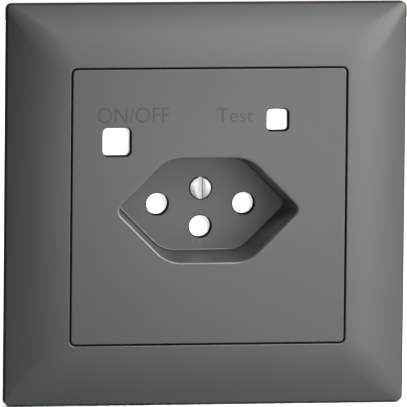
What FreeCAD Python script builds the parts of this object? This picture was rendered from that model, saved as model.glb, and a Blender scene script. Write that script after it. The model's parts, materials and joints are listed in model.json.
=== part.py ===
import FreeCAD, Part
import math
import os
import re

import Sketcher

# A flush-mounted socket outlet with a built-in residual-current breaker, in millimetres.
# X runs to the right, Z up, and the wall's face is the plane Y = 0: the cover stands in front of it
# at negative Y, and the insert goes back into the wall box at positive Y.

SIZES = {
    # cover frame: a square pillow whose face is part of a circular arc
    "frame_side": 88.0, "frame_rim": 2.2, "frame_corner": 1.3, "frame_bulge": 2.6,
    "frame_arc": 26.0, "frame_inner_slope": 3.0, "frame_window": 60.8, "window_corner": 1.4,
    "frame_wall": 2.0, "frame_hollow": 1.3, "lip_front": 2.3, "lip_window": 55.0,
    "groove_inner": 66.0, "groove_outer": 81.0, "groove_depth": 2.4,
    # front plate with its six-sided recess
    "cover_height": 6.9, "plate_side": 60.0, "plate_corner": 1.2, "plate_wall": 2.2,
    "edge_round": 0.3, "skirt_wall": 1.6, "skirt_end": 2.4,
    "recess_drop": 0.84, "recess_depth": 12.0, "recess_half_width": 20.2, "recess_half_height": 11.3,
    "recess_tip": 1.6, "recess_round": 7.5, "recess_draft": 4.3, "recess_rim": 0.35,
    "tub_wall": 1.2, "floor_wall": 2.0, "pin_spacing": 19.0, "earth_offset": 5.0, "pin_hole": 2.45,
    "screw_offset": 3.4, "screw_head": 2.4, "screw_seat": 2.55, "screw_hole": 1.7, "screw_shank": 1.5,
    "head_height": 1.4, "slot_width": 1.1, "slot_depth": 0.8, "screw_end": 17.0,
    # the two buttons and their openings
    "on_off_across": 20.3, "on_off_up": 14.2, "on_off_opening": 6.2, "on_off_corner": 1.1,
    "test_across": 15.0, "test_up": 18.8, "test_opening": 4.8, "test_corner": 0.9,
    "button_gap": 0.2, "button_sink": 1.8, "flange_front": 2.4, "flange_back": 3.6,
    "stem_radius": 1.1, "stem_hole": 1.5, "on_off_stem_end": 8.2, "test_stem_end": 9.0,
    "seat_front": 6.6, "seat_back": 7.4, "seat_rib": 1.2,
    # support plate on the wall, and the insert behind it
    "support_side": 77.0, "support_wall": 1.2, "support_corner": 3.0, "support_window": 49.6,
    "box_circle": 60.0, "box_hole": 2.1, "ear_place": 26.5, "ear_radius": 3.3,
    "ear_hole": 1.6, "ear_screw": 1.5, "ear_head": 2.4,
    "flange_side": 54.0, "flange_wall": 2.0, "flange_corner": 3.0,
    "well_gap": 0.3, "well_wall": 1.4, "well_floor": 10.1, "well_floor_wall": 1.6,
    "bush_radius": 2.4, "bush_end": 18.0, "tower_half_width": 3.6, "tower_top": 6.6,
    "housing_side": 52.0, "housing_wall": 1.6, "housing_corner": 3.0, "housing_end": 34.8,
    "post_place": 22.4, "post_radius": 2.3, "post_hole": 1.35, "post_screw": 1.2, "post_head": 2.1,
    "shoulder_radius": 3.2, "wire_entry": 2.7,
    # shutter behind the pin holes
    "shutter_front": 7.3, "shutter_back": 9.9, "shutter_travel": 5.2, "shutter_left": 13.2,
    "shutter_right": 18.4, "shutter_half_height": 3.2, "shutter_hole": 2.3, "lobe_drop": 8.2,
    "lobe_left": 3.4, "lobe_right": 8.6, "spring_drop": 6.6, "spring_seat_across": 14.6,
    # socket contacts
    "block_half_width": 14.5, "block_bottom": 9.6, "block_top": 4.2, "block_front": 12.1,
    "block_back": 25.8, "sleeve_bore": 2.02, "sleeve_radius": 2.7, "sleeve_front": 12.6,
    "sleeve_slit": 0.8,
    # terminals along the bottom edge
    "terminal_pitch": 7.0, "terminal_side": 5.6, "terminal_top": 15.6, "terminal_bottom": 22.0,
    "terminal_front": 14.0, "wire_height": 18.0, "wire_hole": 1.6,
    "clamp_screw": 1.3, "clamp_head": 2.1, "clamp_place": 20.0, "wire_depth": 10.0,
    # switching mechanism
    "pivot_across": 13.0, "lever_depth": 9.5, "lever_low": 14.0, "lever_high": 16.4,
    "pivot_pin": 0.8, "lever_thick": 1.6, "lever_tip": 5.0, "carriage_front": 8.0,
    "carriage_back": 13.0, "carriage_low": 17.0, "carriage_high": 22.0, "carriage_left": 8.0,
    "carriage_right": 8.4, "contact_gap": 2.2, "contact_left": 6.3, "contact_right": 0.3,
    "contact_plane": 3.4, "rivet": 0.85, "rivet_rise": 1.2,
    # flat conductors
    "bar_thick": 0.8, "bar_wide": 1.8, "bar_front": 26.0, "bar_side": 9.6, "bar_reach": 19.4,
    "line_low": 19.9, "neutral_low": 17.4, "feed_height": 22.6,
    # trip coil, sensing ring and circuit board
    "coil_depth": 19.0, "coil_height": 18.0, "coil_left": 6.0, "coil_right": 18.0, "hook_across": 3.5,
    "hook_depth": 16.5, "coil_radius": 4.0,
    "plunger_radius": 1.2, "ring_across": 13.0, "ring_height": 11.5, "ring_outer": 6.5,
    "ring_inner": 3.4, "ring_front": 17.5, "ring_back": 23.5,
    "board_front": 27.4, "board_wall": 1.4, "board_half_width": 23.6, "board_bottom": 13.0,
    "board_top": 23.4,
}

doc = FreeCAD.newDocument("residual_current_socket")
dims = doc.addObject("Spreadsheet::Sheet", "Dims")
for row, (alias, size) in enumerate(SIZES.items(), start=1):
    dims.set(f"A{row}", alias)
    dims.set(f"B{row}", str(size))
    dims.setAlias(f"B{row}", alias)
doc.recompute()

UPRIGHT = {
    "x": FreeCAD.Rotation(FreeCAD.Vector(0, 1, 0), 90),
    "y": FreeCAD.Rotation(FreeCAD.Vector(1, 0, 0), -90),
    "z": FreeCAD.Rotation(),
}
nodes = {}


# ---- expressions and nodes ----

def ref(text):
    """An expression in which every size's name stands for its cell."""
    return re.sub(r"[a-z_]+", lambda m: f"Dims.{m[0]}" if m[0] in SIZES else m[0], str(text))


def number(text):
    """The value that an expression has now."""
    return float(dims.evalExpression(ref(text)))


def bind(item, path, text):
    item.setExpression(path, ref(text))


def node(item, label):
    """Name an object as one of the outlet's pieces."""
    item.Label = label
    nodes[label] = item
    return item


# ---- solids from primitives ----

def box(name, x, y, z):
    """A block between (low, high) limits on each axis."""
    item = doc.addObject("Part::Box", name)
    for side, axis, (low, high) in zip(("Length", "Width", "Height"), "xyz", (x, y, z)):
        bind(item, side, f"({high}) - ({low})")
        bind(item, f".Placement.Base.{axis}", low)
    return item


def turned(item, axis, place, span):
    """Stand a round solid on an axis, at a place on the other two axes, from the span's low end."""
    item.Placement = FreeCAD.Placement(FreeCAD.Vector(), UPRIGHT[axis])
    others = iter(place)
    for each in "xyz":
        bind(item, f".Placement.Base.{each}", span[0] if each == axis else next(others))
    bind(item, "Height", f"({span[1]}) - ({span[0]})")
    return item


def rod(name, axis, place, radius, span):
    item = doc.addObject("Part::Cylinder", name)
    bind(item, "Radius", radius)
    return turned(item, axis, place, span)


def cone(name, axis, place, radii, span):
    item = doc.addObject("Part::Cone", name)
    bind(item, "Radius1", radii[0])
    bind(item, "Radius2", radii[1])
    return turned(item, axis, place, span)


def fuse(name, *items):
    item = doc.addObject("Part::MultiFuse", name)
    item.Shapes = list(items)
    return item


def cut(name, base, *tools):
    item = doc.addObject("Part::Cut", name)
    item.Base = base
    item.Tool = tools[0] if len(tools) == 1 else fuse(f"{name}_tools", *tools)
    return item


def group(name, *items):
    """Separate solids that make one node."""
    item = doc.addObject("Part::Compound", name)
    item.Links = list(items)
    return item


def tube(name, axis, place, outer, inner, span):
    hollow = rod(f"{name}_bore", axis, place, inner, (f"({span[0]}) - 1", f"({span[1]}) + 1"))
    return cut(name, rod(f"{name}_wall", axis, place, outer, span), hollow)


def coil_spring(name, axis, place, radius, wire, turns, span):
    """A round-wire compression spring that fills the span."""
    length = f"({span[1]}) - ({span[0]}) - 2 * {wire}"
    line = doc.addObject("Part::Helix", f"{name}_line")
    bind(line, "Height", length)
    bind(line, "Pitch", f"({length}) / {turns}")
    bind(line, "Radius", radius)
    section = doc.addObject("Part::Circle", f"{name}_section")
    section.Radius = wire
    section.Placement.Rotation = FreeCAD.Rotation(FreeCAD.Vector(1, 0, 0), 90)
    bind(section, ".Placement.Base.x", radius)
    coil = doc.addObject("Part::Sweep", f"{name}_coil")
    coil.Sections = [section]
    coil.Spine = (line, [])
    coil.Solid = True
    coil.Frenet = True
    item = doc.addObject("Part::Compound", name)
    item.Links = [coil]
    item.Placement = FreeCAD.Placement(FreeCAD.Vector(), UPRIGHT[axis])
    others = iter(place)
    for each in "xyz":
        bind(item, f".Placement.Base.{each}", f"({span[0]}) + {wire}" if each == axis else next(others))
    return item


# ---- bodies from sketches ----

def corner_round(before, corner, after, radius):
    """Where a corner's arc starts and ends, and its centre."""
    here = FreeCAD.Vector(*corner, 0)
    back = (FreeCAD.Vector(*before, 0) - here).normalize()
    ahead = (FreeCAD.Vector(*after, 0) - here).normalize()
    half = back.getAngle(ahead) / 2
    middle = (back + ahead).normalize()
    reach = radius / math.tan(half)
    return here + back * reach, here + ahead * reach, here + middle * (radius / math.sin(half))


def outline(sketch, corners):
    """A closed outline through (x, z, radius) corners, anticlockwise; each corner is an arc or sharp."""
    count = len(corners)
    spots = [(number(x), number(z)) for x, z, _ in corners]
    radii = [number(radius) for _, _, radius in corners]
    ends = []
    for i in range(count):
        if radii[i]:
            ends.append(corner_round(spots[i - 1], spots[i], spots[(i + 1) % count], radii[i]))
        else:
            ends.append((FreeCAD.Vector(*spots[i], 0),) * 3)
    points = [sketch.addGeometry(Part.Point(FreeCAD.Vector(*spot, 0)), True) for spot in spots]
    lines = [sketch.addGeometry(Part.LineSegment(ends[i][1], ends[(i + 1) % count][0]), False)
             for i in range(count)]
    for i, (x, z, radius) in enumerate(corners):
        for kind, text in (("DistanceX", x), ("DistanceY", z)):
            held = sketch.addConstraint(Sketcher.Constraint(kind, -1, 1, points[i], 1, number(text)))
            bind(sketch, f"Constraints[{held}]", text)
        into, out = lines[i - 1], lines[i]
        if not radii[i]:
            sketch.addConstraint(Sketcher.Constraint("Coincident", into, 2, points[i], 1))
            sketch.addConstraint(Sketcher.Constraint("Coincident", out, 1, points[i], 1))
            continue
        start, end, centre = ends[i]
        left_turn = (end - centre).cross(start - centre).z < 0
        first, last = (start, end) if left_turn else (end, start)
        circle = Part.Circle(centre, FreeCAD.Vector(0, 0, 1), radii[i])
        angles = [math.atan2(p.y - centre.y, p.x - centre.x) for p in (first, last)]
        arc = sketch.addGeometry(Part.ArcOfCircle(circle, *angles), False)
        sketch.addConstraint(Sketcher.Constraint("PointOnObject", points[i], 1, into))
        sketch.addConstraint(Sketcher.Constraint("PointOnObject", points[i], 1, out))
        sketch.addConstraint(Sketcher.Constraint("Tangent", into, 2, arc, 1 if left_turn else 2))
        sketch.addConstraint(Sketcher.Constraint("Tangent", out, 1, arc, 2 if left_turn else 1))
        held = sketch.addConstraint(Sketcher.Constraint("Radius", arc, radii[i]))
        bind(sketch, f"Constraints[{held}]", radius)


def rectangle(centre, width, height, radius):
    """The corners of an upright rectangle."""
    x, z = centre
    left, right = f"{x} - ({width}) / 2", f"{x} + ({width}) / 2"
    low, high = f"{z} - ({height}) / 2", f"{z} + ({height}) / 2"
    return [(left, low, radius), (right, low, radius), (right, high, radius), (left, high, radius)]


def hexagon(grow):
    """The recess's outline, grown outwards: flat at the top and bottom, with 45 degree sides."""
    tip = f"recess_half_width + ({grow}) * sqrt(2)"
    rise = f"recess_half_height + ({grow})"
    flat = f"({tip}) - ({rise})"
    low, high = f"-recess_drop - ({rise})", f"-recess_drop + ({rise})"
    point, bend = f"recess_tip + ({grow})", f"recess_round + ({grow})"
    return [(f"-({flat})", low, bend), (flat, low, bend), (tip, "-recess_drop", point),
            (flat, high, bend), (f"-({flat})", high, bend), (f"-({tip})", "-recess_drop", point)]


def disc(sketch, centre, radius):
    """A circle held at a place."""
    x, z = centre
    spot = FreeCAD.Vector(number(x), number(z), 0)
    ring = sketch.addGeometry(Part.Circle(spot, FreeCAD.Vector(0, 0, 1), number(radius)), False)
    for kind, text in (("DistanceX", x), ("DistanceY", z)):
        held = sketch.addConstraint(Sketcher.Constraint(kind, -1, 1, ring, 3, number(text)))
        bind(sketch, f"Constraints[{held}]", text)
    held = sketch.addConstraint(Sketcher.Constraint("Radius", ring, number(radius)))
    bind(sketch, f"Constraints[{held}]", radius)


def front_sketch(body, name, depth, outlines=(), discs=()):
    """A sketch that faces forward at a depth, with outlines and (centre, radius) discs."""
    sketch = body.newObject("Sketcher::SketchObject", name)
    plane = next(each for each in body.Origin.OriginFeatures if each.Role == "XZ_Plane")
    sketch.AttachmentSupport = [(plane, "")]
    sketch.MapMode = "FlatFace"
    bind(sketch, "AttachmentOffset.Base.z", f"-({depth})")
    for corners in outlines:
        outline(sketch, corners)
    for centre, radius in discs:
        disc(sketch, centre, radius)
    doc.recompute()
    return sketch


def below_sketch(body, name, height, discs):
    """A sketch in a level plane, with (centre, radius) discs whose centres are on X and Y."""
    sketch = body.newObject("Sketcher::SketchObject", name)
    plane = next(each for each in body.Origin.OriginFeatures if each.Role == "XY_Plane")
    sketch.AttachmentSupport = [(plane, "")]
    sketch.MapMode = "FlatFace"
    bind(sketch, "AttachmentOffset.Base.z", height)
    for centre, radius in discs:
        disc(sketch, centre, radius)
    doc.recompute()
    return sketch


def pad(body, name, span, outlines=(), discs=()):
    """Add material between a front and a back depth."""
    feature = body.newObject("PartDesign::Pad", name)
    feature.Profile = front_sketch(body, f"{name}_sketch", span[0], outlines, discs)
    feature.Reversed = True
    bind(feature, "Length", f"({span[1]}) - ({span[0]})")
    doc.recompute()
    return feature


def pocket(body, name, span, outlines=(), discs=(), draft=None):
    """Cut between a front and a back depth, narrowing backwards by the draft."""
    before = body.Shape.Volume
    feature = body.newObject("PartDesign::Pocket", name)
    feature.Profile = front_sketch(body, f"{name}_sketch", span[0], outlines, discs)
    bind(feature, "Length", f"({span[1]}) - ({span[0]})")
    if draft:
        bind(feature, "TaperAngle", f"-{draft}")
    doc.recompute()
    assert body.Shape.Volume < before, f"{name} cuts nothing"
    return feature


def round_edges(body, name, radius, chosen):
    """Fillet the edges of the body's last feature that a test on their bounding box picks."""
    base = body.Tip
    picked = [f"Edge{i}" for i, edge in enumerate(base.Shape.Edges, start=1) if chosen(edge.BoundBox)]
    feature = body.newObject("PartDesign::Fillet", name)
    feature.Base = (base, picked)
    bind(feature, "Radius", radius)
    doc.recompute()
    return feature


def new_body(label):
    return node(doc.addObject("PartDesign::Body", label), label)


def at_depth(bounds, depth):
    """Whether an edge lies in the plane at this depth."""
    return abs(bounds.YMin - number(depth)) < 0.01 and abs(bounds.YMax - number(depth)) < 0.01


MIDDLE = ("0", "0")
LINE_PIN = ("-pin_spacing / 2", "-recess_drop")
NEUTRAL_PIN = ("pin_spacing / 2", "-recess_drop")
EARTH_PIN = ("0", "-recess_drop - earth_offset")
COVER_SCREW = ("0", "-recess_drop + screw_offset")
ON_OFF = ("-on_off_across", "on_off_up")
TEST = ("test_across", "test_up")
PLATE_FRONT = "-cover_height"
PLATE_BACK = "-cover_height + plate_wall"
FLOOR_FRONT = "recess_depth - cover_height"
FLOOR_BACK = "recess_depth - cover_height + floor_wall"
CORNERS = [(sx, sz) for sx in ("-", "") for sz in ("-", "")]
EARS = [("-", ""), ("", "-")]


# ---- cover set in front of the wall ----

def make_cover_frame():
    """The square frame: a smooth pillow with a window, hollow behind, and a lip that the plate presses."""
    body = new_body("cover_frame")
    whole = rectangle(MIDDLE, "frame_side", "frame_side", "frame_corner")
    pad(body, "frame_rim_pad", ("-frame_rim", "0"), [whole])
    reach = "(frame_side - frame_window) / 2"
    inner = "frame_inner_slope * 1deg"
    outer = f"asin({reach} / frame_arc + sin({inner}))"
    top = "-cover_height"
    sections = []
    steps = 6
    for i in range(steps + 1):
        angle = f"({outer} + ({inner} - {outer}) * {i / steps})"
        side = f"frame_window + 2 * frame_arc * (sin({angle}) - sin({inner}))"
        depth = f"{top} + frame_arc * (cos({inner}) - cos({angle}))"
        radius = f"frame_corner + frame_bulge * {math.sin(math.pi * i / steps):.4f}"
        outline_here = rectangle(MIDDLE, side, side, radius)
        sections.append(front_sketch(body, f"frame_level_{i}", depth, [outline_here]))
    bind(sections[0], "AttachmentOffset.Base.z", "frame_rim")
    loft = body.newObject("PartDesign::AdditiveLoft", "frame_pillow")
    loft.Profile = sections[0]
    loft.Sections = sections[1:]
    doc.recompute()
    window = rectangle(MIDDLE, "frame_window", "frame_window", "window_corner")
    pocket(body, "frame_opening", ("-cover_height - 1", "-lip_front"), [window])
    lip = rectangle(MIDDLE, "lip_window", "lip_window", "window_corner")
    pocket(body, "lip_opening", ("-lip_front - 1", "1"), [lip])
    hollow = "frame_side - 2 * frame_wall"
    pocket(body, "frame_hollow_cut", ("-frame_hollow", "1"),
           [rectangle(MIDDLE, hollow, hollow, "frame_corner")])
    pocket(body, "frame_groove", ("-groove_depth", "-frame_hollow"),
           [rectangle(MIDDLE, "groove_outer", "groove_outer", "frame_corner"),
            rectangle(MIDDLE, "groove_inner", "groove_inner", "frame_corner")])
    limit = number("frame_window / 2") + 0.01
    round_edges(body, "window_round", "edge_round",
                lambda b: at_depth(b, PLATE_FRONT) and max(b.XMax, -b.XMin, b.ZMax, -b.ZMin) < limit)


def make_front_plate():
    """The square plate: a tub with a six-sided recess, pin holes in its floor and two button openings."""
    body = new_body("front_plate")
    whole = rectangle(MIDDLE, "plate_side", "plate_side", "plate_corner")
    inside = "plate_side - 2 * skirt_wall"
    pad(body, "plate_face", (PLATE_FRONT, PLATE_BACK), [whole])
    pad(body, "plate_skirt", (PLATE_BACK, "-skirt_end"),
        [whole, rectangle(MIDDLE, inside, inside, "plate_corner")])
    pad(body, "plate_tub", (PLATE_BACK, FLOOR_BACK), [hexagon("tub_wall")])
    pocket(body, "plate_recess", (PLATE_FRONT, FLOOR_FRONT), [hexagon("0")], draft="recess_draft")
    pocket(body, "button_openings", ("-cover_height - 1", PLATE_BACK),
           [rectangle(ON_OFF, "on_off_opening", "on_off_opening", "on_off_corner"),
            rectangle(TEST, "test_opening", "test_opening", "test_corner")])
    pins = [(place, "pin_hole") for place in (LINE_PIN, NEUTRAL_PIN, EARTH_PIN)]
    pocket(body, "pin_holes", (FLOOR_FRONT, FLOOR_BACK), discs=pins)
    pocket(body, "screw_passage", (FLOOR_FRONT, FLOOR_BACK), discs=[(COVER_SCREW, "screw_hole")])
    pocket(body, "screw_recess", (FLOOR_FRONT, f"{FLOOR_FRONT} + head_height - 0.4"),
           discs=[(COVER_SCREW, "screw_seat")])
    half, low, high = (number(t) for t in ("recess_half_width", "-recess_drop - recess_half_height",
                                           "-recess_drop + recess_half_height"))
    round_edges(body, "recess_rim_round", "recess_rim",
                lambda b: at_depth(b, PLATE_FRONT) and b.XMax < half + 1 and b.XMin > -half - 1
                and b.ZMin > low - 0.1 and b.ZMax < high + 0.1)
    edge = number("plate_side / 2") - number("plate_corner") - 0.01
    round_edges(body, "plate_edge_round", "edge_round",
                lambda b: at_depth(b, PLATE_FRONT) and max(b.XMax, -b.XMin, b.ZMax, -b.ZMin) > edge)


def make_cover_screw():
    """The slotted screw that holds the plate and frame."""
    seat = f"({FLOOR_FRONT}) + head_height - 0.4"
    top = f"({FLOOR_FRONT}) - 0.4"
    x, z = COVER_SCREW
    head = rod("cover_screw_head", "y", COVER_SCREW, "screw_head", (top, seat))
    shank = rod("cover_screw_shank", "y", COVER_SCREW, "screw_shank", (seat, "screw_end"))
    slot = box("cover_screw_slot", ("-slot_width / 2", "slot_width / 2"),
               (f"({top}) - 1", f"({top}) + slot_depth"), (f"{z} - 4", f"{z} + 4"))
    node(cut("cover_screw_body", fuse("cover_screw_blank", head, shank), slot), "cover_screw")


# ---- support plate and the insert's shells ----

def make_support_plate():
    """The steel plate on the wall, with box-screw holes on a circle and countersunk holes for the insert."""
    body = new_body("support_plate")
    pad(body, "support_sheet", ("-support_wall", "0"),
        [rectangle(MIDDLE, "support_side", "support_side", "support_corner"),
         rectangle(MIDDLE, "support_window", "support_window", "ear_radius")])
    reach = "box_circle / 2"
    spots = [(reach, "0"), ("0", reach), (f"-{reach}", "0"), ("0", f"-{reach}")]
    pocket(body, "box_holes", ("-support_wall - 1", "1"), discs=[(spot, "box_hole") for spot in spots])
    ears = [(f"{sx}ear_place", f"{sz}ear_place") for sx, sz in EARS]
    pocket(body, "ear_holes", ("-support_wall - 1", "1"), discs=[(spot, "ear_hole") for spot in ears])
    pocket(body, "ear_sinks", ("-support_wall", "-support_wall + ear_head - ear_screw"),
           discs=[(spot, "ear_head + 0.1") for spot in ears], draft="45")
    corners = [(f"{sx}support_side / 2 - {sx}5.5", f"{sz}support_side / 2 - {sz}5.5") for sx, sz in CORNERS]
    pocket(body, "relief_holes", ("-support_wall - 1", "1"), discs=[(spot, "ear_hole") for spot in corners])


def make_insert_screws():
    """Two countersunk screws that hold the insert to the support plate."""
    screws = []
    for i, (sx, sz) in enumerate(EARS):
        place = (f"{sx}ear_place", f"{sz}ear_place")
        low = "-support_wall + ear_head - ear_screw"
        head = cone(f"insert_screw_head_{i}", "y", place, ("ear_head", "ear_screw"), ("-support_wall", low))
        shank = rod(f"insert_screw_shank_{i}", "y", place, "ear_screw", (low, "flange_wall + 3"))
        slot = box(f"insert_screw_slot_{i}", (f"{place[0]} - 3", f"{place[0]} + 3"),
                   ("-support_wall - 1", "-support_wall + 0.5"), (f"{place[1]} - 0.3", f"{place[1]} + 0.3"))
        screws.append(cut(f"insert_screw_{i}", fuse(f"insert_screw_blank_{i}", head, shank), slot))
    node(group("insert_screw_pair", *screws), "insert_screws")


def make_insert_cover():
    """The insert's front shell: a flange with two ears, and a six-sided well that the plate's tub enters."""
    body = new_body("insert_cover")
    ears = [(f"{sx}ear_place", f"{sz}ear_place") for sx, sz in EARS]
    pad(body, "insert_flange", ("0", "flange_wall"),
        [rectangle(MIDDLE, "flange_side", "flange_side", "flange_corner")])
    pad(body, "insert_ears", ("0", "flange_wall"), discs=[(spot, "ear_radius") for spot in ears])
    well_back = "well_floor + well_floor_wall"
    pad(body, "well_outside", ("0", well_back), [hexagon("tub_wall + well_gap + well_wall")])
    pocket(body, "well_inside", ("-1", "well_floor"), [hexagon("tub_wall + well_gap")])
    pins = [(place, "pin_hole + 0.15") for place in (LINE_PIN, NEUTRAL_PIN, EARTH_PIN)]
    pocket(body, "well_pin_holes", ("well_floor", f"{well_back} + 1"), discs=pins)
    pocket(body, "well_screw_hole", ("well_floor", f"{well_back} + 1"), discs=[(COVER_SCREW, "screw_hole")])
    pocket(body, "flange_openings", ("-1", "flange_wall + 1"),
           [rectangle(ON_OFF, "on_off_opening", "on_off_opening", "on_off_corner"),
            rectangle(TEST, "test_opening", "test_opening", "test_corner")])
    pocket(body, "flange_ear_holes", ("-1", "flange_wall + 1"), discs=[(spot, "ear_hole") for spot in ears])
    posts = [((f"{sx}post_place", f"{sz}post_place"), "post_hole") for sx, sz in CORNERS]
    pocket(body, "flange_screw_holes", ("0.4", "flange_wall + 1"), discs=posts)
    pad(body, "shutter_stop", ("shutter_front + 0.2", "well_floor + 0.1"),
        [rectangle(("-spring_seat_across", "-recess_drop - spring_drop"), "1.2", "2.8", "0")])


def make_rear_housing():
    """The insert's back shell: a box with four screw posts, wire entries and screw access from below."""
    body = new_body("rear_housing")
    inside = "housing_side - 2 * housing_wall"
    back = "housing_end - housing_wall"
    pad(body, "housing_block", ("flange_wall", "housing_end"),
        [rectangle(MIDDLE, "housing_side", "housing_side", "housing_corner")])
    pocket(body, "housing_inside", ("flange_wall - 1", back),
           [rectangle(MIDDLE, inside, inside, "housing_wall")])
    posts = [(f"{sx}post_place", f"{sz}post_place") for sx, sz in CORNERS]
    pad(body, "screw_posts", ("flange_wall", f"{back} + 0.1"),
        discs=[(spot, "post_radius") for spot in posts])
    pad(body, "board_shoulders", ("board_front + board_wall", f"{back} + 0.1"),
        discs=[((f"{sx}post_place", "post_place"), "shoulder_radius") for sx in ("-", "")])
    pocket(body, "post_bores", ("flange_wall - 1", "housing_end + 1"),
           discs=[(spot, "post_hole") for spot in posts])
    pocket(body, "head_sinks", ("housing_end - head_height", "housing_end + 1"),
           discs=[(spot, "post_head + 0.2") for spot in posts])
    entries = [((f"{i} * terminal_pitch", "-wire_height"), "wire_entry") for i in range(-2, 3)]
    pocket(body, "wire_entries", (f"{back} - 1", "housing_end + 1"), discs=entries)
    marks = [((f"{i} * terminal_pitch", "-housing_side / 2 + 3.4"), "0.6") for i in range(-2, 3)]
    pocket(body, "release_marks", ("housing_end - 0.5", "housing_end + 1"), discs=marks)
    slots = [rectangle(("0", f"{z}"), "22", "1.4", "0.6") for z in (-2, 2, 6, 10)]
    pocket(body, "vent_slots", (f"{back} - 1", "housing_end + 1"), slots)
    access = body.newObject("PartDesign::Pocket", "screw_access")
    ways = [((f"{i} * terminal_pitch", "clamp_place"), "clamp_head + 0.1") for i in range(-2, 3)]
    access.Profile = below_sketch(body, "screw_access_sketch", "-housing_side / 2 - 1", ways)
    access.Reversed = True
    bind(access, "Length", "housing_wall + 1.5")
    doc.recompute()


def make_housing_screws():
    """Four long screws from the back, through the posts, into the front shell."""
    screws = []
    for i, (sx, sz) in enumerate(CORNERS):
        place = (f"{sx}post_place", f"{sz}post_place")
        seat = "housing_end - head_height"
        shank = rod(f"housing_screw_shank_{i}", "y", place, "post_screw", ("0.6", seat))
        top = rod(f"housing_screw_head_{i}", "y", place, "post_head", (seat, "housing_end - 0.2"))
        slot = box(f"housing_screw_slot_{i}", (f"{place[0]} - 3", f"{place[0]} + 3"),
                   ("housing_end - 0.8", "housing_end + 1"), (f"{place[1]} - 0.3", f"{place[1]} + 0.3"))
        screws.append(cut(f"housing_screw_{i}", fuse(f"housing_screw_blank_{i}", shank, top), slot))
    node(group("housing_screw_set", *screws), "housing_screws")


def make_threaded_bush():
    """The brass bush that takes the cover screw."""
    node(tube("bush", "y", COVER_SCREW, "bush_radius", "screw_shank + 0.05",
              ("block_front", "bush_end")), "threaded_bush")


# ---- shutter and socket contacts ----

def make_shutter():
    """The sliding shutter: solid behind the pin holes at rest, open once it has slid to the left."""
    level = "-recess_drop"
    thick = ("shutter_front", "shutter_back")
    bar = box("shutter_bar", ("-shutter_left", "shutter_right"), thick,
              (f"{level} - shutter_half_height", f"{level} + shutter_half_height"))
    lobe = box("shutter_lobe", ("-lobe_left", "lobe_right"), thick, (f"{level} - lobe_drop", level))
    through = ("shutter_front - 1", "shutter_back + 1")
    holes = [rod(f"shutter_hole_{name}", "y", (f"{x} + shutter_travel", z), "shutter_hole", through)
             for name, (x, z) in (("line", LINE_PIN), ("neutral", NEUTRAL_PIN), ("earth", EARTH_PIN))]
    notch = box("shutter_notch", ("-screw_shank - 0.4", "screw_shank + 0.4 + shutter_travel"), through,
                (f"{level} + screw_offset - screw_shank - 0.3", f"{level} + screw_offset + 1"))
    node(cut("shutter_plate", fuse("shutter_blank", bar, lobe), *holes, notch), "shutter")
    node(coil_spring("shutter_coil", "x", ("(shutter_front + shutter_back) / 2", f"{level} - spring_drop"),
                     "0.9", 0.2, 6, ("-spring_seat_across + 0.7", "-lobe_left - 0.1")), "shutter_spring")


def make_socket_contacts():
    """Three sprung sleeves in a moulded block, whose tower holds the threaded bush."""
    level = "-recess_drop"
    block = box("block_solid", ("-block_half_width", "block_half_width"), ("block_front", "block_back"),
                (f"{level} - block_bottom", f"{level} + block_top"))
    tower = box("block_tower", ("-tower_half_width", "tower_half_width"), ("block_front", "bush_end"),
                (level, f"{level} + tower_top"))
    through = ("block_front - 1", "block_back + 1")
    holes = [rod("block_bush_seat", "y", COVER_SCREW, "bush_radius + 0.03", through)]
    for name, place in (("line", LINE_PIN), ("neutral", NEUTRAL_PIN), ("earth", EARTH_PIN)):
        x, z = place
        holes.append(rod(f"block_hole_{name}", "y", place, "sleeve_radius + 0.15", through))
        sleeve = tube(f"{name}_sleeve", "y", place, "sleeve_radius", "sleeve_bore",
                      ("sleeve_front", "bar_front"))
        slit = box(f"{name}_slit", (f"{x} - sleeve_slit / 2", f"{x} + sleeve_slit / 2"),
                   ("sleeve_front - 1", "bar_front - 5"),
                   (f"{z} - sleeve_radius - 1", f"{z} + sleeve_radius + 1"))
        node(cut(f"{name}_sleeve_slit", sleeve, slit), f"{name}_socket_contact")
    node(cut("block_cut", fuse("block_blank", block, tower), *holes), "contact_block")


# ---- terminals ----

TERMINALS = {"line_in": -2, "line_out": -1, "earth": 0, "neutral_out": 1, "neutral_in": 2}


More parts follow.
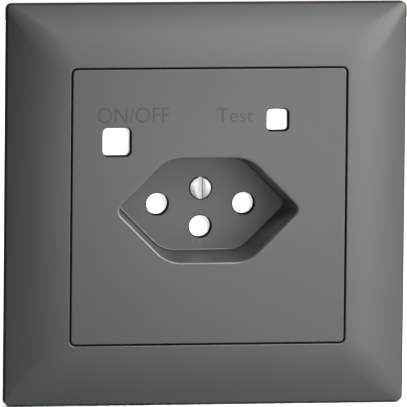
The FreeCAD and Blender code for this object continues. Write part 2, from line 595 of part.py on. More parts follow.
def make_terminals():
    """Five brass terminals in a moulded row, each with a clamp screw below and a wire entry at the back."""
    screws, cavities = [], []
    for name, place in TERMINALS.items():
        x = f"{place} * terminal_pitch"
        half = "terminal_side / 2"
        span = ("terminal_front", "bar_front")
        body = box(f"{name}_brass", (f"{x} - {half}", f"{x} + {half}"), span,
                   ("-terminal_bottom", "-terminal_top"))
        bore = rod(f"{name}_wire_bore", "y", (x, "-wire_height"), "wire_hole",
                   ("bar_front - wire_depth", "bar_front + 1"))
        tapped = rod(f"{name}_tapped_hole", "z", (x, "clamp_place"), "clamp_screw + 0.05",
                     ("-terminal_bottom - 1", "-wire_height - wire_hole + 0.2"))
        node(cut(f"{name}_terminal_cut", body, bore, tapped), f"terminal_{name}")
        shank = rod(f"{name}_clamp_shank", "z", (x, "clamp_place"), "clamp_screw",
                    ("-terminal_bottom - 0.4", "-wire_height - wire_hole - 0.15"))
        top = rod(f"{name}_clamp_head", "z", (x, "clamp_place"), "clamp_head",
                  ("-terminal_bottom - 1.8", "-terminal_bottom - 0.4"))
        slot = box(f"{name}_clamp_slot", (f"{x} - 3", f"{x} + 3"), ("clamp_place - 0.3", "clamp_place + 0.3"),
                   ("-terminal_bottom - 2", "-terminal_bottom - 1.2"))
        screws.append(cut(f"{name}_clamp_screw", fuse(f"{name}_clamp_blank", shank, top), slot))
        cavities.append(box(f"{name}_cavity", (f"{x} - {half} - 0.15", f"{x} + {half} + 0.15"),
                            ("terminal_front - 0.2", "block_back + 1"),
                            ("-terminal_bottom - 0.2", "-terminal_top + 0.2")))
        cavities.append(rod(f"{name}_screw_well", "z", (x, "clamp_place"), "clamp_head + 0.15",
                            ("-terminal_bottom - 4", "-terminal_bottom")))
    node(group("clamp_screw_set", *screws), "terminal_screws")
    reach = "2 * terminal_pitch + terminal_side / 2 + 1.2"
    solid = box("terminal_row", (f"-({reach})", reach), ("terminal_front - 1.4", "block_back"),
                ("-terminal_bottom - 2.2", "-terminal_top + 1.2"))
    node(cut("terminal_row_cut", solid, *cavities), "terminal_block")


# ---- conductors between the contacts, the sensing ring and the terminals ----

def make_conductors():
    """Flat brass bars: the outputs run through the sensing ring, the feeds go round the outside."""
    back = ("bar_front", "bar_front + bar_thick")
    front = ("contact_plane - bar_thick", "contact_plane")
    line_band, neutral_band = ("line_low", "line_low + bar_wide"), ("neutral_low", "neutral_low + bar_wide")
    through = ("ring_height - bar_thick", "ring_height + bar_thick")
    over = ("feed_height", "feed_height + bar_thick")
    level_band = ("-recess_drop - 1.5", "-recess_drop + 1.5")
    line_x = ("-ring_across - 1.4", "-ring_across - 0.4")
    neutral_x = ("-ring_across + 0.4", "-ring_across + 1.4")
    side_x = ("-bar_side - bar_thick", "-bar_side")
    turn_line = ("ring_front - 2", "ring_front - 2 + bar_thick")
    turn_neutral = ("ring_front - 3.4", "ring_front - 3.4 + bar_thick")
    toe = "-terminal_top - 0.4"
    node(fuse("line_bar",
              box("line_bar_a", (side_x[0], "-contact_left + 1.1"), front, line_band),
              box("line_bar_b", side_x, (front[0], turn_line[1]), line_band),
              box("line_bar_c", (line_x[0], side_x[1]), turn_line, line_band),
              box("line_bar_d", line_x, turn_line, (through[0], line_band[1])),
              box("line_bar_e", line_x, (turn_line[0], back[1]), through),
              box("line_bar_f", line_x, back, (level_band[0], through[1])),
              box("line_bar_g", (line_x[0], "-terminal_pitch + 1"), back, level_band),
              box("line_bar_h", ("-terminal_pitch - 1", "-terminal_pitch + 1"), back, (toe, level_band[1]))),
         "line_busbar")
    node(fuse("neutral_bar",
              box("neutral_bar_a", (side_x[0], "-contact_left + 1.1"), front, neutral_band),
              box("neutral_bar_b", side_x, (front[0], turn_neutral[1]), neutral_band),
              box("neutral_bar_c", (neutral_x[0], side_x[1]), turn_neutral, neutral_band),
              box("neutral_bar_d", neutral_x, turn_neutral, (through[0], neutral_band[1])),
              box("neutral_bar_e", neutral_x, (turn_neutral[0], back[1]), through),
              box("neutral_bar_f", (neutral_x[0], "pin_spacing / 2 + 1"), back, through),
              box("neutral_bar_g", ("pin_spacing / 2 - 1", "pin_spacing / 2 + 1"), back,
                  (level_band[0], through[1])),
              box("neutral_bar_h", ("terminal_pitch - 1", "pin_spacing / 2 + 1"), back, level_band),
              box("neutral_bar_i", ("terminal_pitch - 1", "terminal_pitch + 1"), back, (toe, level_band[1]))),
         "neutral_busbar")
    node(box("earth_bar", ("-1.2", "1.2"), back, (toe, "-recess_drop - earth_offset + 2")), "earth_busbar")
    out = "bar_reach"
    near = ("contact_right - 1.1", "contact_right + 1.1")
    aside = ("contact_right + 3", "contact_right + 4")
    node(fuse("line_feed_bar",
              box("line_feed_a", near, front, (line_band[0], over[1])),
              box("line_feed_b", ("contact_right - 0.7", "contact_right + 0.7"), (front[0], back[1]), over),
              box("line_feed_c", (f"-{out}", "contact_right + 0.7"), back, over),
              box("line_feed_d", (f"-{out}", f"-{out} + 1.2"), back, ("-terminal_top", over[1])),
              box("line_feed_e", (f"-{out}", "-2 * terminal_pitch + 1"), back, (toe, "-terminal_top + 1.2"))),
         "line_feed")
    node(fuse("neutral_feed_bar",
              box("neutral_feed_a", ("contact_right - 1.1", "contact_right + 4"), front, neutral_band),
              box("neutral_feed_b", aside, front, (neutral_band[0], over[1])),
              box("neutral_feed_c", aside, (front[0], back[1]), over),
              box("neutral_feed_d", ("contact_right + 3", out), back, over),
              box("neutral_feed_e", (f"{out} - 1.2", out), back, ("-terminal_top", over[1])),
              box("neutral_feed_f", ("2 * terminal_pitch - 1", out), back, (toe, "-terminal_top + 1.2"))),
         "neutral_feed")


def make_contacts():
    """Silver rivets: fixed ones on the bars, and bridges that the carriage carries."""
    for name, low in (("line", "line_low"), ("neutral", "neutral_low")):
        middle = f"{low} + bar_wide / 2"
        rise = ("contact_plane", "contact_plane + rivet_rise")
        fixed = [rod(f"{name}_fixed_{side}", "y", (x, middle), "rivet", rise)
                 for side, x in (("left", "-contact_left"), ("right", "contact_right"))]
        node(group(f"{name}_fixed_pair", *fixed), f"{name}_fixed_contacts")
        strip = box(f"{name}_bridge", ("-contact_left - 1", "contact_right + 1"),
                    ("carriage_front - 0.5", "carriage_front"), (f"{low} + 0.1", f"{low} + bar_wide - 0.1"))
        moving = [rod(f"{name}_moving_{side}", "y", (x, middle), "rivet",
                      ("contact_plane + rivet_rise + contact_gap", "carriage_front - 0.4"))
                  for side, x in (("left", "-contact_left"), ("right", "contact_right"))]
        node(fuse(f"{name}_bridge_set", strip, *moving), f"{name}_moving_contacts")


# ---- buttons, lever and carriage ----

def make_button(name, place, opening, corner, stem_end, flange):
    """A square cap with a flange that keeps it in, and a stem."""
    body = new_body(f"{name}_button")
    front = f"{PLATE_FRONT} + button_sink"
    side = f"{opening} - 2 * button_gap"
    pad(body, f"{name}_cap", (front, "flange_front"),
        [rectangle(place, side, side, f"{corner} - button_gap")])
    wide = f"{opening} + 2 * ({flange})"
    pad(body, f"{name}_flange", ("flange_front", "flange_back"), [rectangle(place, wide, wide, corner)])
    pad(body, f"{name}_stem", ("flange_back", stem_end), discs=[(place, "stem_radius")])
    round_edges(body, f"{name}_cap_round", "0.4", lambda b: at_depth(b, front))
    coil = ("flange_back + 0.05", "seat_front - 0.05")
    node(coil_spring(f"{name}_coil", "y", place, "1.6", 0.25, 3, coil), f"{name}_spring")


def make_spring_seat(name, place, wide, rib_low):
    """A shelf behind a button, on a rib from the front shell, with a hole for the stem."""
    x, z = place
    across = (f"{x} - {wide}", f"{x} + {wide}")
    shelf = box(f"{name}_shelf", across, ("seat_front", "seat_back"),
                (f"{z} - {wide}", f"{rib_low} + seat_rib"))
    rib = box(f"{name}_rib", across, ("flange_wall", "seat_back"), (rib_low, f"{rib_low} + seat_rib"))
    hole = rod(f"{name}_stem_hole", "y", place, "stem_hole", ("seat_front - 1", "seat_back + 1"))
    node(cut(f"{name}_seat_cut", fuse(f"{name}_seat_blank", shelf, rib), hole), f"{name}_spring_seat")


def make_mechanism():
    """The lever that turns the button's push round, its bracket and pin, and the contact carriage."""
    pivot = ("-pivot_across", "lever_depth")
    span = ("lever_low", "lever_high")
    arm = box("lever_arm", ("-on_off_across - 1.2", "-lever_tip"),
              ("lever_depth - lever_thick / 2", "lever_depth + lever_thick / 2"), span)
    hub = rod("lever_hub", "z", pivot, "2 * pivot_pin", span)
    tip = rod("lever_tip_round", "z", ("-lever_tip", "lever_depth"), "1", span)
    eye = rod("lever_eye", "z", pivot, "pivot_pin + 0.05", ("lever_low - 1", "lever_high + 1"))
    node(cut("lever_cut", fuse("lever_blank", arm, hub, tip), eye), "toggle_lever")
    pin = rod("lever_pin", "z", pivot, "pivot_pin", ("lever_low - 1.8", "lever_high + 1.8"))
    node(pin, "toggle_lever_pin")
    sides = ("-pivot_across - 2", "-pivot_across + 1.4")
    cheek = ("flange_wall", "lever_depth + 1.6")
    foot = ("flange_wall", "flange_wall + 1.2")
    bracket = fuse("bracket_blank",
                   box("bracket_low", sides, cheek, ("lever_low - 1.6", "lever_low - 0.2")),
                   box("bracket_high", sides, cheek, ("lever_high + 0.2", "lever_high + 1.6")),
                   box("bracket_base", sides, foot, ("lever_low - 1.6", "lever_high + 1.6")))
    eyes = rod("bracket_eye", "z", pivot, "pivot_pin", ("lever_low - 3", "lever_high + 3"))
    node(cut("bracket_cut", bracket, eyes), "lever_bracket")
    fork = ("-lever_tip - 1.4", "-lever_tip + 1.4")
    ledge = "carriage_low + 0.4"
    node(fuse("carriage_blank",
              box("carriage_block", ("-carriage_left", "carriage_right"), ("carriage_front", "carriage_back"),
                  ("carriage_low", "carriage_high")),
              box("fork_front", fork, ("lever_depth - 2.2", "lever_depth - 1.2"), ("lever_low - 0.1", ledge)),
              box("fork_link", fork, ("lever_depth - 2.2", "carriage_front + 0.4"), ("carriage_low", ledge)),
              box("fork_back", fork, ("lever_depth + 1.2", "lever_depth + 2.2"),
                  ("lever_low - 0.1", "carriage_low"))),
         "contact_carriage")
    place = ("carriage_right - 1.8", "(carriage_low + carriage_high) / 2")
    coil = ("flange_wall + 0.05", "carriage_front - 0.05")
    node(coil_spring("opening_coil", "y", place, "1.1", 0.22, 5, coil), "opening_spring")


# ---- trip coil, latch, sensing ring and test contact ----

def make_trip_coil():
    """A coil in a steel yoke whose plunger tips the latch hook, which lets the carriage go."""
    place = ("coil_depth", "coil_height")
    high = ("coil_height - 4", "coil_height + 4")
    deep = ("coil_depth - 4", "coil_depth + 5")
    reach = ("hook_depth - 1.3", "hook_depth + 1.3")
    tabs = [box(f"latch_tab_{i}", ("hook_across - 1.3", "coil_left"), reach,
                (f"coil_height + {low}", f"coil_height + {low + 0.8}")) for i, low in enumerate((-2.0, 1.2))]
    yoke = fuse("yoke_blank",
                box("yoke_left", ("coil_left - 0.4", "coil_left + 0.6"), deep, high),
                box("yoke_right", ("coil_right - 0.6", "coil_right + 0.4"), deep, high),
                box("yoke_back", ("coil_left - 0.4", "coil_right + 0.4"),
                    ("coil_depth + 4", "coil_depth + 5"), high),
                *tabs)
    eye = rod("yoke_eye", "x", place, "plunger_radius + 0.15", ("coil_left - 2", "coil_left + 2"))
    pin_eye = rod("yoke_pin_eye", "z", ("hook_across", "hook_depth"), "0.6",
                  ("coil_height - 4", "coil_height + 4"))
    node(cut("yoke_cut", yoke, eye, pin_eye), "coil_yoke")
    inside = ("coil_left + 0.7", "coil_right - 0.7")
    bobbin = fuse("bobbin_blank",
                  rod("bobbin_tube", "x", place, "plunger_radius + 0.8", inside),
                  rod("bobbin_left", "x", place, "coil_radius - 0.1", (inside[0], f"{inside[0]} + 0.8")),
                  rod("bobbin_right", "x", place, "coil_radius - 0.1", (f"{inside[1]} - 0.8", inside[1])))
    node(cut("bobbin_cut", bobbin, rod("bobbin_bore", "x", place, "plunger_radius + 0.15",
                                       ("coil_left", "coil_right"))), "coil_bobbin")
    node(tube("winding", "x", place, "coil_radius - 0.4", "plunger_radius + 0.85",
              (f"{inside[0]} + 0.85", f"{inside[1]} - 0.85")), "coil_winding")
    node(fuse("plunger_blank",
              rod("plunger_core", "x", place, "plunger_radius", ("coil_left - 0.9", "coil_right - 3")),
              cone("plunger_nose", "x", place, ("0.4", "plunger_radius"),
                   ("hook_across + 1.1", "coil_left - 0.9"))),
         "trip_plunger")
    pivot = ("hook_across", "hook_depth")
    span = ("coil_height - 1", "coil_height + 1")
    wide = ("hook_across - 0.6", "hook_across + 0.6")
    hook = fuse("hook_blank", rod("hook_hub", "z", pivot, "1.1", span),
                box("hook_front", wide, ("carriage_back + 0.3", "hook_depth"), span),
                box("hook_back", wide, ("hook_depth", "coil_depth + 0.8"), span))
    hub_eye = rod("hook_eye", "z", pivot, "0.65", ("coil_height - 2", "coil_height + 2"))
    node(cut("hook_cut", hook, hub_eye), "latch_hook")
    node(rod("hook_pin", "z", pivot, "0.6", ("coil_height - 2.4", "coil_height + 2.4")), "latch_pin")


def make_sensing_ring():
    """A core round both output bars, wound with copper."""
    place = ("-ring_across", "ring_height")
    core = ("ring_inner + 0.6", "ring_outer - 0.8", "ring_front + 0.8", "ring_back - 0.8")
    node(tube("core_ring", "y", place, core[1], core[0], (core[2], core[3])), "sensing_core")
    solid = tube("winding_ring", "y", place, "ring_outer", "ring_inner", ("ring_front", "ring_back"))
    hollow = tube("winding_hollow", "y", place, f"{core[1]} + 0.05", f"{core[0]} - 0.05",
                  (f"{core[2]} - 0.05", f"{core[3]} + 0.05"))
    node(cut("winding_cut", solid, hollow), "sensing_winding")


def make_test_contact():
    """A leaf behind the test button and the fixed strip that it touches."""
    x, z = TEST
    leaf = ("test_stem_end + 1.5", "test_stem_end + 1.8")
    band = (f"{z} - 0.8", f"{z} + 0.8")
    node(fuse("leaf_blank",
              box("leaf_strip", (f"{x} - 2", f"{x} + 6"), leaf, band),
              box("leaf_foot", (f"{x} + 5.2", f"{x} + 6"), ("flange_wall", leaf[1]), band)),
         "test_contact_leaf")
    strip = ("test_stem_end + 2.8", "test_stem_end + 3.2")
    node(box("test_strip", (f"{x} - 2", f"{x} + 2"), strip, band), "test_fixed_contact")


# ---- circuit board ----

def make_circuit_board():
    """The board behind the mechanism, notched round the posts."""
    body = new_body("circuit_board")
    middle = ("0", "(board_top - board_bottom) / 2")
    pad(body, "board_sheet", ("board_front", "board_front + board_wall"),
        [rectangle(middle, "2 * board_half_width", "board_top + board_bottom", "1")])
    pocket(body, "board_notches", ("board_front - 1", "board_front + board_wall + 1"),
           discs=[((f"{sx}post_place", "post_place"), "post_radius + 0.3") for sx in ("-", "")])


def make_board_parts():
    """The parts on the back of the board."""
    face = "board_front + board_wall"
    caps = [rod(f"capacitor_{i}", "y", (x, "board_top - 8"), "3.3", (face, f"{face} + 3.9"))
            for i, x in enumerate(("-6", "2.5"))]
    node(group("capacitor_pair", *caps), "capacitors")
    node(rod("varistor_disc", "y", ("13", "12"), "4.2", (face, f"{face} + 2.6")), "surge_varistor")
    node(box("chip_block", ("-13", "-8"), (face, f"{face} + 1.7"), ("-1", "5.2")), "control_chip")
    node(box("thyristor_block", ("11", "15.6"), (face, f"{face} + 3.2"), ("-3", "0.6")), "thyristor")
    parts = [rod(f"resistor_{i}", "x", (f"{face} + 1", f"{-9 + 2.6 * i}"), "0.9", ("-4", "2.2"))
             for i in range(4)]
    node(group("resistor_set", *parts), "resistors")


make_cover_frame()
make_front_plate()
make_cover_screw()
make_support_plate()
make_insert_screws()
make_insert_cover()
make_rear_housing()
make_housing_screws()
make_threaded_bush()
make_shutter()
make_socket_contacts()
make_terminals()
make_conductors()
make_contacts()
make_button("on_off", ON_OFF, "on_off_opening", "on_off_corner", "on_off_stem_end", "0.35")
make_button("test", TEST, "test_opening", "test_corner", "test_stem_end", "0.45")
make_spring_seat("on_off", ON_OFF, "3.6", "on_off_up + 3.8")
make_spring_seat("test", TEST, "3", "test_up + 3.2")
make_mechanism()
make_trip_coil()
make_sensing_ring()
make_test_contact()
make_circuit_board()
make_board_parts()

doc.recompute()
for item in doc.Objects:
    assert not {"Invalid", "Error"} & set(item.State), f"{item.Name}: {item.State}"
for label, item in nodes.items():
    assert not item.Shape.isNull() and item.Shape.isValid(), f"{label} has no valid shape"

os.makedirs("parts", exist_ok=True)
for label, item in nodes.items():
    item.Shape.exportStep(f"parts/{label}.step")
    print(f"{label}: {len(item.Shape.Solids)} solids, {item.Shape.Volume:.1f} mm3")
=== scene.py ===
import json
import math

import bmesh
import bpy
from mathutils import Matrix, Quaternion, Vector


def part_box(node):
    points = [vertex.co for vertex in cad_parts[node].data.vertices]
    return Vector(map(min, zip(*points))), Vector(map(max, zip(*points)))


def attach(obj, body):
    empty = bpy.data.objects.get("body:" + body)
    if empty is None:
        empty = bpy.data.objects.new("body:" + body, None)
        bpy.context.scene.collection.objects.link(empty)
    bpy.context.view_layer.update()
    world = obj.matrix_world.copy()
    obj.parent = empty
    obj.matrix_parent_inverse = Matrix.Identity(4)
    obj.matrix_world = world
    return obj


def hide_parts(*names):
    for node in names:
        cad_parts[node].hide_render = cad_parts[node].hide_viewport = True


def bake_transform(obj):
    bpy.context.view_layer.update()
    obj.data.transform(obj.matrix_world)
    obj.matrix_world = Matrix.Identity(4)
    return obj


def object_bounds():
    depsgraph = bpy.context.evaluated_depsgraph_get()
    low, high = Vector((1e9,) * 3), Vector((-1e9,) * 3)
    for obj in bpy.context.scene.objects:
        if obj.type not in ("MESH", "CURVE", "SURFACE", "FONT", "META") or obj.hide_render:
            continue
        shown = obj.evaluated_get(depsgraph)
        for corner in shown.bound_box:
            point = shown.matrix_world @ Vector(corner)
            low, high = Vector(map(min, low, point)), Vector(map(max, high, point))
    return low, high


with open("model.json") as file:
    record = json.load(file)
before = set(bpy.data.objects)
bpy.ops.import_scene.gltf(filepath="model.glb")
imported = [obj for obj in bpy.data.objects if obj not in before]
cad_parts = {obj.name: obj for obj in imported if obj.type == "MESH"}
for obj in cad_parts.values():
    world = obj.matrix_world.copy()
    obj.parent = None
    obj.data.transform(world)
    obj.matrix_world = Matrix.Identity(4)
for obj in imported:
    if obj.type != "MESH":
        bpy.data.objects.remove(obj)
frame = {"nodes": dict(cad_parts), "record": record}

MM = 0.001
CAD_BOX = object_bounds()

# Sizes are in metres. The front looks along -y and the wall's surface is at y = 0.
# What the frame's boxes and mounts give is read from them.
FRAME_LOW, FRAME_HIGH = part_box("cover_frame")
PLATE_LOW, PLATE_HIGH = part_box("front_plate")
SCREW_LOW, SCREW_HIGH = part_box("cover_screw")
FACE = PLATE_LOW.y
SCREW = ((SCREW_LOW.x + SCREW_HIGH.x) / 2, (SCREW_LOW.z + SCREW_HIGH.z) / 2)
MOUNTS = {mount["name"]: mount for mount in frame["record"]["mounts"]}
PIN_HOLES = [MOUNTS[f"{name}_pin_hole"] for name in ("line", "neutral", "earth")]
PINS = [((mount["pos_m"][0], mount["pos_m"][2]), mount["dims"]["r_mm"] * MM) for mount in PIN_HOLES]
_, RECESS_FLOOR, LEVEL = PIN_HOLES[0]["pos_m"]


# ---- materials ----

# Scale and detail of each noise, and how strongly it shows as a bump.
MOTTLE, MOTTLE_DETAIL = 55.0, 3.0
GRAIN, GRAIN_DETAIL, GRAIN_STRENGTH = 4200.0, 2.0, 0.35
SCRATCH, SCRATCH_DETAIL, SCRATCH_STRENGTH = 12.0, 6.0, 0.25
SCRATCH_STRETCH = (900.0, 60.0, 60.0)
NOISE_ROUGHNESS = 0.55
BUMP_DISTANCE = 0.00002


def new_material(name):
    """A material, its nodes and links, and its shader."""
    material = bpy.data.materials.new(name)
    material.use_nodes = True
    nodes = material.node_tree.nodes
    return material, nodes, material.node_tree.links, nodes["Principled BSDF"]


def add_noise(nodes, links, scale, detail):
    """A noise's value over the piece's own coordinates."""
    where = nodes.new("ShaderNodeTexCoord")
    noise = nodes.new("ShaderNodeTexNoise")
    noise.inputs["Scale"].default_value = scale
    noise.inputs["Detail"].default_value = detail
    noise.inputs["Roughness"].default_value = NOISE_ROUGHNESS
    links.new(where.outputs["Object"], noise.inputs["Vector"])
    return noise.outputs["Fac"]


def add_scratches(nodes, links):
    """A noise's value, stretched into fine lines along one way."""
    where = nodes.new("ShaderNodeTexCoord")
    stretch = nodes.new("ShaderNodeMapping")
    stretch.inputs["Scale"].default_value = SCRATCH_STRETCH
    links.new(where.outputs["Object"], stretch.inputs["Vector"])
    lines = nodes.new("ShaderNodeTexNoise")
    lines.inputs["Scale"].default_value = SCRATCH
    lines.inputs["Detail"].default_value = SCRATCH_DETAIL
    links.new(stretch.outputs["Vector"], lines.inputs["Vector"])
    return lines.outputs["Fac"]


def set_colour(nodes, links, shader, source, dark, light):
    """Mix the colour from two by a value."""
    mix = nodes.new("ShaderNodeMix")
    mix.data_type = "RGBA"
    mix.inputs["A"].default_value = (*dark, 1.0)
    mix.inputs["B"].default_value = (*light, 1.0)
    links.new(source, mix.inputs["Factor"])
    links.new(mix.outputs["Result"], shader.inputs["Base Color"])


def set_roughness(nodes, links, shader, source, low, high):
    """Spread a 0 to 1 value over the roughness's range."""
    ramp = nodes.new("ShaderNodeMapRange")
    ramp.inputs["To Min"].default_value = low
    ramp.inputs["To Max"].default_value = high
    links.new(source, ramp.inputs["Value"])
    links.new(ramp.outputs["Result"], shader.inputs["Roughness"])


def set_bump(nodes, links, shader, source, strength):
    lift = nodes.new("ShaderNodeBump")
    lift.inputs["Strength"].default_value = strength
    lift.inputs["Distance"].default_value = BUMP_DISTANCE
    links.new(source, lift.inputs["Height"])
    links.new(lift.outputs["Normal"], shader.inputs["Normal"])


def plastic(name, dark, light, roughness, specular=0.5):
    """Moulded plastic: a faint mottle in its colour, and a fine even grain in the surface."""
    material, nodes, links, shader = new_material(name)
    shader.inputs["Specular IOR Level"].default_value = specular
    mottle = add_noise(nodes, links, MOTTLE, MOTTLE_DETAIL)
    set_colour(nodes, links, shader, mottle, dark, light)
    grain = add_noise(nodes, links, GRAIN, GRAIN_DETAIL)
    set_roughness(nodes, links, shader, grain, roughness - 0.05, roughness + 0.07)
    set_bump(nodes, links, shader, grain, GRAIN_STRENGTH)
    return material


def metal(name, dark, light, roughness):
    """Bare or plated metal with fine lines along one way."""
    material, nodes, links, shader = new_material(name)
    shader.inputs["Metallic"].default_value = 1.0
    scratches = add_scratches(nodes, links)
    set_colour(nodes, links, shader, scratches, dark, light)
    set_roughness(nodes, links, shader, scratches, roughness - 0.08, roughness + 0.12)
    set_bump(nodes, links, shader, scratches, SCRATCH_STRENGTH)
    return material


# The cover's plastic, and copies of it for some faces: glossier edge roundings made lighter as
# painted highlight, lighter recess walls as painted light, a darker upright side as painted shade,
# and near-black opening walls as painted shade.
COVER = plastic("cover_dark_grey",
                (0.0245, 0.0245, 0.0249), (0.0272, 0.0272, 0.0276), 0.48, specular=0.235)
# Edge roundings: glossier than the cover, and lighter in colour as painted highlight.
COVER_GLOSSY_EDGE_PAINTED_HIGHLIGHT = plastic("cover_polished_edge",
                     (0.030, 0.030, 0.0305), (0.034, 0.034, 0.0345), 0.28, specular=0.4)
# Recess walls, lighter than the cover to stand for light falling on them: painted light.
COVER_WALL_PAINTED_LIGHT = plastic("cover_recess_wall",
                     (0.0335, 0.0335, 0.0341), (0.0370, 0.0370, 0.0376), 0.5, specular=0.3)
# The frame's upright outer side, darker than the cover and without sheen: painted shade.
COVER_SIDE_PAINTED_SHADE = plastic("cover_side_dark",
                     (0.0200, 0.0200, 0.0204), (0.0225, 0.0225, 0.0229), 0.7, specular=0.0)
# Near-black walls of the pin holes and button openings: painted shade.
OPENING_WALL_PAINTED_SHADE = plastic("opening_wall_dark",
                  (0.006, 0.006, 0.0062), (0.008, 0.008, 0.0082), 0.8, specular=0.0)
LEGEND = plastic("legend_grey",
                 (0.0140, 0.0140, 0.0143), (0.0155, 0.0155, 0.0158), 0.5, specular=0.2)
WHITE = plastic("button_white", (0.86, 0.86, 0.85), (0.90, 0.90, 0.89), 0.32)
STEEL = metal("plated_steel", (0.24, 0.245, 0.25), (0.33, 0.335, 0.34), 0.4)
SCREW_METAL = metal("screw_steel", (0.14, 0.14, 0.138), (0.23, 0.23, 0.227), 0.45)

SLOT_MATERIALS = {
    "cover_plastic": COVER,
    "button_plastic": WHITE,
    "insert_plastic": plastic("insert_light_grey",
                              (0.17, 0.17, 0.163), (0.20, 0.20, 0.192), 0.5, specular=0.3),
    "inner_plastic": plastic("inner_black", (0.028, 0.028, 0.030), (0.045, 0.045, 0.047), 0.5),
    "support_steel": STEEL,
    "spring_steel": STEEL,
    "screw_steel": SCREW_METAL,
    "brass": metal("brass", (0.42, 0.29, 0.11), (0.56, 0.41, 0.19), 0.34),
    "copper": metal("copper_winding", (0.50, 0.20, 0.09), (0.74, 0.36, 0.18), 0.35),
    "contact_silver": metal("contact_silver", (0.72, 0.71, 0.69), (0.90, 0.89, 0.87), 0.22),
    "ferrite": plastic("ferrite", (0.020, 0.020, 0.021), (0.045, 0.045, 0.048), 0.6),
    "board": plastic("board_green", (0.015, 0.090, 0.040), (0.025, 0.140, 0.060), 0.4),
    "component_blue": plastic("component_blue", (0.025, 0.070, 0.20), (0.045, 0.11, 0.28), 0.35),
    "component_dark": plastic("component_dark", (0.02, 0.02, 0.02), (0.04, 0.04, 0.04), 0.45),
}


def dress_nodes():
    """Give every CAD node the material of its slot."""
    for part in frame["record"]["subparts"]:
        item = frame["nodes"][part["node"]]
        item.data.materials.clear()
        item.data.materials.append(SLOT_MATERIALS[part["material_slot"]])


def dress_faces(item, material, rule):
    """Give the faces that a rule picks a material of their own."""
    item.data.materials.append(material)
    last = len(item.data.materials) - 1
    for face in item.data.polygons:
        if rule(face):
            face.material_index = last


# ---- loops of (x, z) points ----

def round_corner(before, corner, after, radius, steps):
    """Points along the arc that rounds one corner."""
    back = (before - corner).normalized()
    ahead = (after - corner).normalized()
    half = back.angle(ahead) / 2
    centre = corner + (back + ahead).normalized() * (radius / math.sin(half))
    start = corner + back * (radius / math.tan(half))
    end = corner + ahead * (radius / math.tan(half))
    first = math.atan2(*reversed(start - centre))
    turn = math.atan2(*reversed(end - centre)) - first
    turn = (turn + math.pi) % (2 * math.pi) - math.pi
    angles = [first + turn * i / steps for i in range(steps + 1)]
    return [centre + Vector((math.cos(angle), math.sin(angle))) * radius for angle in angles]


def rounded_loop(corners, radii, steps, straight):
    """A closed loop round a polygon: an arc at each corner, and each side cut into straights."""
    corners = [Vector(corner) for corner in corners]
    around = zip(corners[-1:] + corners[:-1], corners, corners[1:] + corners[:1], radii)
    arcs = [round_corner(before, corner, after, radius, steps)
            for before, corner, after, radius in around]
    loop = []
    for arc, following in zip(arcs, arcs[1:] + arcs[:1]):
        loop += arc
        loop += [arc[-1].lerp(following[0], k / straight) for k in range(1, straight)]
    return loop


def square_loop(half, radius, middle=(0.0, 0.0), steps=12, straight=1):
    x, z = middle
    corners = [(x - half, z - half), (x + half, z - half),
               (x + half, z + half), (x - half, z + half)]
    return rounded_loop(corners, [radius] * 4, steps, straight)


def arc_points(radius, middle, angles):
    x, z = middle
    return [Vector((x + radius * math.cos(angle), z + radius * math.sin(angle)))
            for angle in angles]


def disc_loop(radius, middle, steps=48):
    return arc_points(radius, middle, [2 * math.pi * i / steps for i in range(steps)])


def quarter(steps):
    """Angles of a quarter turn."""
    return [math.pi / 2 * i / steps for i in range(steps + 1)]


def rolled_edge(loop, size, depth, steps):
    """Rings of a rounded edge, from the face at a depth inwards; loop makes each for its growth."""
    return [(loop(size * (1 - math.sin(a))), depth + size * (1 - math.cos(a)))
            for a in quarter(steps)]


# ---- meshes from loops ----

def add_loop(mesh, loop, depth):
    return [mesh.verts.new((point.x, depth, point.y)) for point in loop]


def bridge(mesh, first, second):
    """A strip of faces between two loops of the same length."""
    count = len(first)
    for i in range(count):
        mesh.faces.new((first[i], first[(i + 1) % count], second[(i + 1) % count], second[i]))


def bridge_all(mesh, rings):
    """Strips between each ring and the next; gives back the first and the last."""
    for first, second in zip(rings, rings[1:]):
        bridge(mesh, first, second)
    return rings[0], rings[-1]


def loft(mesh, rings):
    """Strips through (loop, depth) rings; gives back the first and last loops of vertices."""
    return bridge_all(mesh, [add_loop(mesh, loop, depth) for loop, depth in rings])


def fill(mesh, loops):
    """Fill a flat face that has one outer loop and any number of holes."""
    edges = []
    for loop in loops:
        for i, vertex in enumerate(loop):
            other = loop[(i + 1) % len(loop)]
            edges.append(mesh.edges.get((vertex, other)) or mesh.edges.new((vertex, other)))
    bmesh.ops.triangle_fill(mesh, use_beauty=True, edges=edges)


def add_object(name, data):
    item = bpy.data.objects.new(name, data)
    bpy.context.scene.collection.objects.link(item)
    return item


def finish_piece(mesh, name, material, body, nodes=(), sharp=40.0):
    """Turn a bmesh into a smooth-shaded piece that rides on a body, unless none is named."""
    bmesh.ops.remove_doubles(mesh, verts=mesh.verts, dist=1e-7)
    bmesh.ops.recalc_face_normals(mesh, faces=mesh.faces)
    data = bpy.data.meshes.new(name)
    mesh.to_mesh(data)
    mesh.free()
    data.shade_smooth()
    data.set_sharp_from_angle(angle=math.radians(sharp))
    item = add_object(name, data)
    item.data.materials.append(material)
    weighted = item.modifiers.new("even_normals", "WEIGHTED_NORMAL")
    weighted.keep_sharp = True
    weighted.weight = 100
    if body:
        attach(item, body)
    if nodes:
        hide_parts(*nodes)
    return item


# ---- cover frame ----

FRAME_HALF = (FRAME_HIGH.x - FRAME_LOW.x) / 2
WINDOW_HALF = 30.4 * MM
SIDE_TOP = -2.2 * MM
ARC, ARC_STEPS, INNER_SLOPE = 26 * MM, 36, math.radians(3)
CORNER, BULGE, SIDE_STEPS = 1.3 * MM, 2.6 * MM, 24
OUTER_EDGE, FILLET = 0.35 * MM, 0.2 * MM
# How far the profile's outer end is drawn in and lifted, to soften the bend to the side.
SHOULDER_IN, SHOULDER_UP = 0.16 * MM, 0.10 * MM
